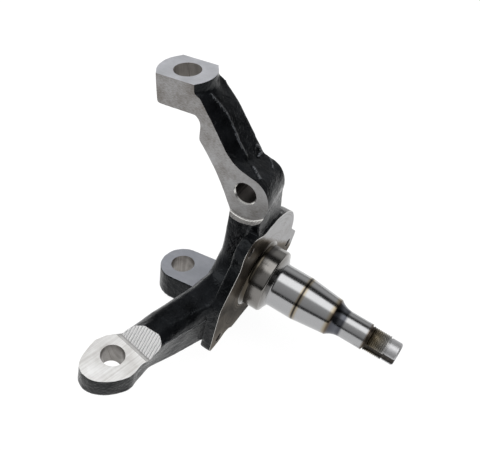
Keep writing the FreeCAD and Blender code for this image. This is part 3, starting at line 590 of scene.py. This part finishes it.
# The cutters, in the order that the knuckle is milled in, each with the finish that it leaves. Spot
# facers cut a little way into the underside of the two ball-joint bosses.
BOSS_THICK = 20.0
SPOT_FACE = -BOSS_THICK + 0.4
SPOT_END = -BOSS_THICK - 4
cutters = [
    front_cutter(front_steel, ledge_highlight_steel),
    block("rear_cutter", REAR_FLAT_X * FORWARD, (OUT, UP), ((-118, -61.6), (89.1, 164)), -FORWARD, 20,
          front_steel),
    drill("top_face_cutter", TOP_FACE, BALL_AXIS, [(23, 0), (23, 20)], boss_steel),
    block("low_face_cutter", LOW_FACE, (FORWARD, OUT_ALONG_FACE), ((-24, 24), (-24, 26.8)), BALL_AXIS, 6,
          low_steel),
    drill("top_spot_facer", TOP_FACE, BALL_AXIS, [(12.2, SPOT_FACE), (12.2, SPOT_END)], boss_steel),
    drill("low_spot_facer", LOW_FACE, BALL_AXIS, [(13.2, SPOT_FACE), (13.2, SPOT_END)], low_steel),
    eye_cutter(eye_steel, wall_ridge_shade_steel, corner_shade_steel),
    block("flange_cutter", np.zeros(3), (FORWARD, UP), ((-90, 90), (-80, 90)), OUT, 120, flange_sheen_steel),
    drill("top_drill", TOP_FACE, BALL_AXIS, [(8.9, 4), (8.68, -0.1), (7.2, -24)], top_taper_lit_steel),
    drill("low_drill", LOW_FACE, BALL_AXIS, [(8.5, 4), (8.68, -0.1), (9.9, -20), (10.4, -24)], taper_steel),
    drill("eye_drill", EYE_HOLE, UP, [(8.0, 4), (7.8, 0), (6.77, -16.5), (6.6, -20)], eye_bore_steel),
    drill("caliper_drill", CALIPER_HOLE, FORWARD, [(7.2, 8), (7.2, -40)], drilled_steel),
    # The countersink takes the ledge's brighter steel, a painted highlight round the hole's mouth
    drill("caliper_countersink", CALIPER_HOLE, FORWARD, [(8.9, 0.9), (7.1, -0.9)], ledge_highlight_steel),
    *(drill("screw_drill", place, OUT, [(3.7, 4), (3.7, 0), (3.4, -0.3), (3.4, -14)], drilled_steel, 32)
      for place in SCREW_PLACES),
]
forged_mesh.materials.clear()
forged_mesh.materials.append(paint)
forged_mesh.materials.append(seam_wear_and_highlight)
forged_mesh.polygons.foreach_set("material_index", on_highlit_crest.astype(np.int32))
forging = placed("forging", forged_mesh)
tools = [placed(cutter.name, cutter) for cutter in cutters]
for tool in tools:
    cut = forging.modifiers.new(tool.name, "BOOLEAN")
    cut.operation = "DIFFERENCE"
    cut.solver = "MANIFOLD"
    cut.material_mode = "TRANSFER"
    cut.object = tool
cut_mesh = finished_mesh(forging)
forging.modifiers.clear()
forging.data = cut_mesh
for tool in tools:
    bpy.data.objects.remove(tool)
cut_mesh.name = "forging"

# The slivers that the cutters left are cleaned away. Then the edge of the flange's face is filed to a
# thin chamfer, whose brighter ledge steel is a painted highlight round the face.
FILED = 0.35
shape = bmesh.new()
shape.from_mesh(cut_mesh)
bmesh.ops.remove_doubles(shape, verts=shape.verts, dist=2e-6)
bmesh.ops.dissolve_degenerate(shape, edges=shape.edges, dist=1e-6)
flange_slot, filed_highlight_slot = (cut_mesh.materials.find(finish.name) for finish in (flange_sheen_steel, ledge_highlight_steel))
rim = [edge for edge in shape.edges if len(edge.link_faces) == 2
       and {face.material_index for face in edge.link_faces} == {0, flange_slot}]
bmesh.ops.bevel(shape, geom=rim, offset=FILED * MM, segments=1, affect="EDGES", profile=0.5,
                clamp_overlap=True, material=filed_highlight_slot)

# Crisp where one finish meets another and where a cutter left a corner, smooth elsewhere
CRISP = math.radians(32)
for face in shape.faces:
    face.smooth = True
for edge in shape.edges:
    sides = edge.link_faces
    edge.smooth = not (len(sides) == 2 and (sides[0].material_index != sides[1].material_index
                                            or edge.calc_face_angle(0) > CRISP))
shape.to_mesh(cut_mesh)
shape.free()
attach(forging, "root")
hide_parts("steering_knuckle")


# The spindle: turned and ground for the seal, two bearings and the nut, with a milled slot for the
# nut's tongued washer. It is one with the forging, and is drawn from its root outwards.
SPINDLE_AROUND = 192
THREAD_START, THREAD_END, THREAD_PITCH, THREAD_DEPTH = 86.6, 99.5, 1.27, 0.7
THREAD_FADE = 1.2
KEY_HALF, KEY_FLOOR, KEY_START, KEY_FROM = 2.5, 6.9, 89.5, 80.0
KEY_CURVE, KEY_CURVE_RISE, KEY_CLOSING, KEY_COLUMNS = 3.5, 2.2, 3.0, 9


def arc(start, end, bulge, steps):
    """Points of an arc between two (radius, y) points that stands off its chord by bulge."""
    start, end = np.array(start), np.array(end)
    chord = end - start
    reach = np.linalg.norm(chord)
    side = np.array((chord[1], -chord[0])) / reach
    turn = np.linspace(-1, 1, steps + 1)
    radius = (reach ** 2 / 4 + bulge ** 2) / (2 * abs(bulge))
    lift = np.sqrt(radius ** 2 - (turn * reach / 2) ** 2) - (radius - abs(bulge))
    return start + (turn[:, None] + 1) / 2 * chord + np.sign(bulge) * lift[:, None] * side


def straight(start, end, step=2.0):
    """Points of a straight run between two (radius, y) points, about a step apart."""
    start, end = np.array(start), np.array(end)
    count = max(1, int(np.linalg.norm(end - start) / step))
    return start + np.linspace(0, 1, count + 1)[:, None] * (end - start)


# The outline of the spindle as (radius, y) points: root fillet, seal collar, inner bearing seat, long
# taper, outer bearing seat, thread and end journal
profile = np.concatenate([
    straight((25.7, -0.4), (25.4, 0.0)),
    arc((25.4, 0.0), (22.8, 2.6), -0.76, 8),
    straight((22.8, 2.7), (22.8, 11.7)),
    arc((22.8, 11.8), (21.0, 13.6), 0.53, 6),
    straight((20.9, 13.65), (17.4, 15.55)),
    arc((17.3, 15.6), (15.95, 16.95), -0.3, 5),
    straight((15.875, 17.1), (15.875, 35.7)),
    straight((15.8, 35.85), (13.15, 59.9)),
    arc((13.1, 60.0), (9.55, 68.9), -0.85, 10),
    straight((9.525, 69.05), (9.525, 85.4)),
    straight((9.3, 85.6), (8.3, 85.75), 0.5),
    straight((8.25, 85.9), (8.25, 86.5), 0.3),
    straight((8.8, THREAD_START), (8.8, THREAD_END), 0.125),
    straight((7.6, 99.6), (7.6, 100.4), 0.4),
    straight((8.06, 100.5), (8.06, 107.2)),
    straight((7.9, 107.4), (7.1, 108.2), 0.3),
    straight((6.6, 108.2), (0.0, 108.2), 1.6),
])
radius, height = profile[:, :1], profile[:, 1:]


def key_way(height):
    """How far from the axis the washer slot's floor lies, which rises in a curve at its inner end."""
    return KEY_FLOOR + np.clip((KEY_START - height) / KEY_CURVE, 0, 1) ** 2 * KEY_CURVE_RISE


# Grid of the spindle: rows along it, columns round it. The slot's columns lie at even steps across
# its width, and the others at even angles round the rest, so that the slot's walls stand straight. The
# slot's columns draw together where the spindle's end closes.
slot_across = np.linspace(-KEY_HALF, KEY_HALF, KEY_COLUMNS)[None, :]
edge_angle = np.arcsin(np.clip(KEY_HALF / np.maximum(radius, 0.01), 0, 0.99))
rest = np.linspace(0, 1, SPINDLE_AROUND)[None, :]
angle = edge_angle + rest * (2 * math.pi - 2 * edge_angle)
tooth = np.abs(((height / THREAD_PITCH - angle / (2 * math.pi)) % 1) * 2 - 1)
fade = (np.clip((height - THREAD_START) / THREAD_FADE, 0, 1)
        * np.clip((THREAD_END - height) / THREAD_FADE, 0, 1))
in_thread = (height > THREAD_START) & (height < THREAD_END)
turned = radius - np.where(in_thread, THREAD_DEPTH * tooth * fade, 0)
around_x, around_z = turned * np.cos(angle), turned * np.sin(angle)
slot_z = slot_across * np.minimum(1, radius / KEY_CLOSING)
crest = np.sqrt(np.maximum(radius ** 2 - slot_z ** 2, 0))
slot_x = np.minimum(crest, np.where(height > KEY_FROM, key_way(height), crest))
columns_x = np.concatenate((around_x, slot_x), axis=1)
columns_z = np.concatenate((around_z, slot_z), axis=1)
columns_y = np.broadcast_to(height, columns_x.shape)
spindle_points = np.stack((columns_x, columns_y, columns_z), axis=2).reshape(-1, 3)
spindle_mesh = bpy.data.meshes.new("spindle")
spindle_mesh.from_pydata((spindle_points * MM).tolist(), [], grid_faces(*columns_x.shape))
shape = bmesh.new()
shape.from_mesh(spindle_mesh)
bmesh.ops.remove_doubles(shape, verts=shape.verts, dist=2e-6)
bmesh.ops.recalc_face_normals(shape, faces=shape.faces)
outward = sum((face.normal.x * face.calc_center_median().x + face.normal.z * face.calc_center_median().z)
              for face in shape.faces)
if outward < 0:
    bmesh.ops.reverse_faces(shape, faces=shape.faces)
shape.to_mesh(spindle_mesh)
shape.free()
spindle_mesh.shade_smooth()
spindle_mesh.set_sharp_from_angle(angle=math.radians(28))
spindle = placed("spindle", spindle_mesh)

# Ground steel: bright, with rings too fine to see one by one, straw and brown tints where the hardened
# seats end, and painted shade darkening the root fillet beside the flange
COLLAR, STEEL = (0.20, 0.192, 0.182), (0.37, 0.372, 0.378)
STRAW, BROWN, DARK = (0.30, 0.26, 0.195), (0.10, 0.075, 0.052), (0.035, 0.03, 0.027)
BLUED, PALE_BLUE = (0.070, 0.073, 0.085), (0.11, 0.115, 0.13)
ROOT_SHADE, FILLET_SHADE, THREAD_FOOT = (0.05, 0.042, 0.032), (0.08, 0.07, 0.055), (0.06, 0.047, 0.03)
THREAD, THREAD_TIP, JOURNAL = (0.30, 0.265, 0.20), (0.34, 0.33, 0.31), (0.54, 0.54, 0.55)
# How many millimetres along the spindle, and the colour there
# The first two colours, on the root fillet, are painted shade in the corner beside the flange
TINTS = ((0, ROOT_SHADE), (2.6, FILLET_SHADE), (3.2, COLLAR), (14, COLLAR), (17, STEEL), (33.8, STEEL), (34.9, STRAW),
         (35.5, DARK), (36.3, DARK), (37.0, STRAW), (38.6, STEEL), (56.5, STEEL), (58.4, STRAW),
         (59.8, BROWN), (61.5, BLUED), (65.0, PALE_BLUE), (67.8, BLUED), (69.4, STEEL), (84.0, STEEL),
         (85.3, BROWN), (86.2, DARK), (88, THREAD_FOOT), (91, THREAD), (97, THREAD_TIP), (101, JOURNAL))
TINTS_END = 110.0
ground, nodes, links, shader = new_material("ground_spindle_steel")
split = nodes.new("ShaderNodeSeparateXYZ")
links.new(mapped(nodes, links), split.inputs["Vector"])
share = spread_out(nodes, links, split.outputs["Y"], 0, 1, 0, TINTS_END * MM)
links.new(ramp(nodes, links, share, [(along / TINTS_END, tint) for along, tint in TINTS]),
          shader.inputs["Base Color"])
rings = noise(nodes, links, mapped(nodes, links, (30, 2500, 30)), 1.0, 4, 0.6)
thread_rough = spread_out(nodes, links, share, 0.0, 0.24, 84 / TINTS_END, 88 / TINTS_END)
seat_rough = spread_out(nodes, links, share, 0.0, 0.05, 60 / TINTS_END, 64 / TINTS_END)
all_rough = combined(nodes, links, spread_out(nodes, links, rings, 0.11, 0.22),
                     combined(nodes, links, thread_rough, seat_rough))
links.new(all_rough, shader.inputs["Roughness"])
shader.inputs["Metallic"].default_value = 1.0
bumped(nodes, links, shader, rings, 0.000006)
spindle_mesh.materials.append(ground)

# The washer slot is painted dark and mottled: painted shade in its recess
SLOT_REACH = 7.6
SLOT_END = 108.0
SLOT_SHADE_DARK, SLOT_SHADE_LIGHT = (0.012, 0.010, 0.008), (0.07, 0.06, 0.05)
slot_shade_steel, nodes, links, shader = new_material("slot_painted_shade_steel")
slot_mottle = noise(nodes, links, mapped(nodes, links), 900, 3)
links.new(ramp(nodes, links, slot_mottle, ((0.35, SLOT_SHADE_DARK), (0.65, SLOT_SHADE_LIGHT))), shader.inputs["Base Color"])
shader.inputs["Roughness"].default_value = 0.5
shader.inputs["Metallic"].default_value = 0.6
spindle_mesh.materials.append(slot_shade_steel)
for face in spindle_mesh.polygons:
    across, along, up = face.center / MM
    in_slot = across > 1 and abs(up) < KEY_HALF and THREAD_START < along < SLOT_END
    if in_slot and math.hypot(across, up) < SLOT_REACH:
        face.material_index = 1
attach(spindle, "root")


# The floor is a broad table just under the knuckle. It glows white for the camera and in the steel's
# shine, and otherwise lights the knuckle only as a dark grey table does. Its sizes are metres.
FLOOR_Z = -0.0586
FLOOR_HALF = 6.0
FLOOR_GLOW = 0.95
floor_mesh = bpy.data.meshes.new("floor")
corners = ((-1, -1), (1, -1), (1, 1), (-1, 1))
floor_mesh.from_pydata([(x * FLOOR_HALF, y * FLOOR_HALF, FLOOR_Z) for x, y in corners], [], [(0, 1, 2, 3)])
floor = placed("floor", floor_mesh)
white, nodes, links, shader = new_material("white_floor")
shader.inputs["Base Color"].default_value = (0.11, 0.11, 0.11, 1)
shader.inputs["Roughness"].default_value = 0.9
shader.inputs["Specular IOR Level"].default_value = 0.1
path = nodes.new("ShaderNodeLightPath")
sight = combined(nodes, links, path.outputs["Is Camera Ray"], path.outputs["Is Glossy Ray"], "MAXIMUM")
sight = combined(nodes, links, sight, path.outputs["Is Transmission Ray"], "MAXIMUM")
shader.inputs["Emission Color"].default_value = (1, 1, 1, 1)
links.new(combined(nodes, links, sight, FLOOR_GLOW, "MULTIPLY"), shader.inputs["Emission Strength"])
floor_mesh.materials.append(white)


# Studio light: a long overhead softbox, dark gaps on both sides of it and grey walls, all drawn in the
# world as bands that run along the spindle, and a lamp in the softbox for the shadows. Sizes are metres.
SOFTBOX_WAY = (0.22, -0.24, 0.95)
SOFTBOX_AIM = (0.02, 0.02, 0.02)
SOFTBOX_AWAY = 1.2
lamp = bpy.data.lights.new("softbox", "AREA")
lamp.shape = "RECTANGLE"
lamp.size = 1.3
lamp.size_y = 1.6
lamp.energy = 8
softbox = placed("softbox", lamp)
toward = Vector(SOFTBOX_WAY).normalized()
softbox.location = Vector(SOFTBOX_AIM) + toward * SOFTBOX_AWAY
softbox.rotation_euler = toward.to_track_quat("Z", "Y").to_euler()
softbox.visible_glossy = False
world = bpy.data.worlds.new("studio")
bpy.context.scene.world = world
world.use_nodes = True
nodes, links = world.node_tree.nodes, world.node_tree.links
nodes.clear()
output = nodes.new("ShaderNodeOutputWorld")
sky = nodes.new("ShaderNodeBackground")
links.new(sky.outputs["Background"], output.inputs["Surface"])
way = nodes.new("ShaderNodeSeparateXYZ")
links.new(nodes.new("ShaderNodeTexCoord").outputs["Generated"], way.inputs["Vector"])
bearing = combined(nodes, links, way.outputs["Z"], way.outputs["X"], "ARCTAN2")
turned_round = combined(nodes, links, combined(nodes, links, bearing, 2 * math.pi, "DIVIDE"), 0.5)
# Angle above the front horizon, about the spindle, and how bright the studio is there. The side that
# the spindle points to stays dark.
BANDS = ((-180, 0.30), (-2, 0.30), (0, 0.02), (11, 0.02), (18, 0.20), (62, 0.28), (71, 1.0), (103, 1.0),
         (111, 0.02), (128, 0.02), (140, 0.26), (155, 0.32), (180, 0.18))
BRIGHTEST, DARKEST = 2.0, 0.25
DARK_FROM, DARK_FULLY = 0.35, 0.7
grey = ramp(nodes, links, turned_round, [((angle + 180) / 360, (level,) * 3) for angle, level in BANDS])
brighter = nodes.new("ShaderNodeVectorMath")
brighter.operation = "SCALE"
links.new(grey, brighter.inputs[0])
links.new(spread_out(nodes, links, way.outputs["Y"], BRIGHTEST, DARKEST, DARK_FROM, DARK_FULLY),
          brighter.inputs["Scale"])
# The camera itself sees plain white behind the knuckle
path = nodes.new("ShaderNodeLightPath")
seen = nodes.new("ShaderNodeMix")
seen.data_type = "RGBA"
links.new(path.outputs["Is Camera Ray"], seen.inputs["Factor"])
links.new(brighter.outputs["Vector"], seen.inputs["A"])
seen.inputs["B"].default_value = (1, 1, 1, 1)
links.new(seen.outputs["Result"], sky.inputs["Color"])

# The camera stands in front of the car, outboard and above, where the photograph was taken from
CAMERA_PLACE = (0.3186, 0.0931, 0.3703)
RIGHT = (-0.50619, 0.84107, 0.19072)
DOWN = (0.54853, 0.48463, -0.68136)
AHEAD = (-0.66550, -0.24028, -0.70667)
camera_data = bpy.data.cameras.new("camera")
camera_data.sensor_width = 36.0
camera_data.lens = 53.81
camera_data.clip_start = 0.01
camera = placed("camera", camera_data)
turned_to = Matrix((RIGHT, [-value for value in DOWN], [-value for value in AHEAD])).transposed()
camera.matrix_world = Matrix.Translation(CAMERA_PLACE) @ turned_to.to_4x4()
bpy.context.scene.camera = camera
bpy.context.scene.view_settings.view_transform = "Standard"
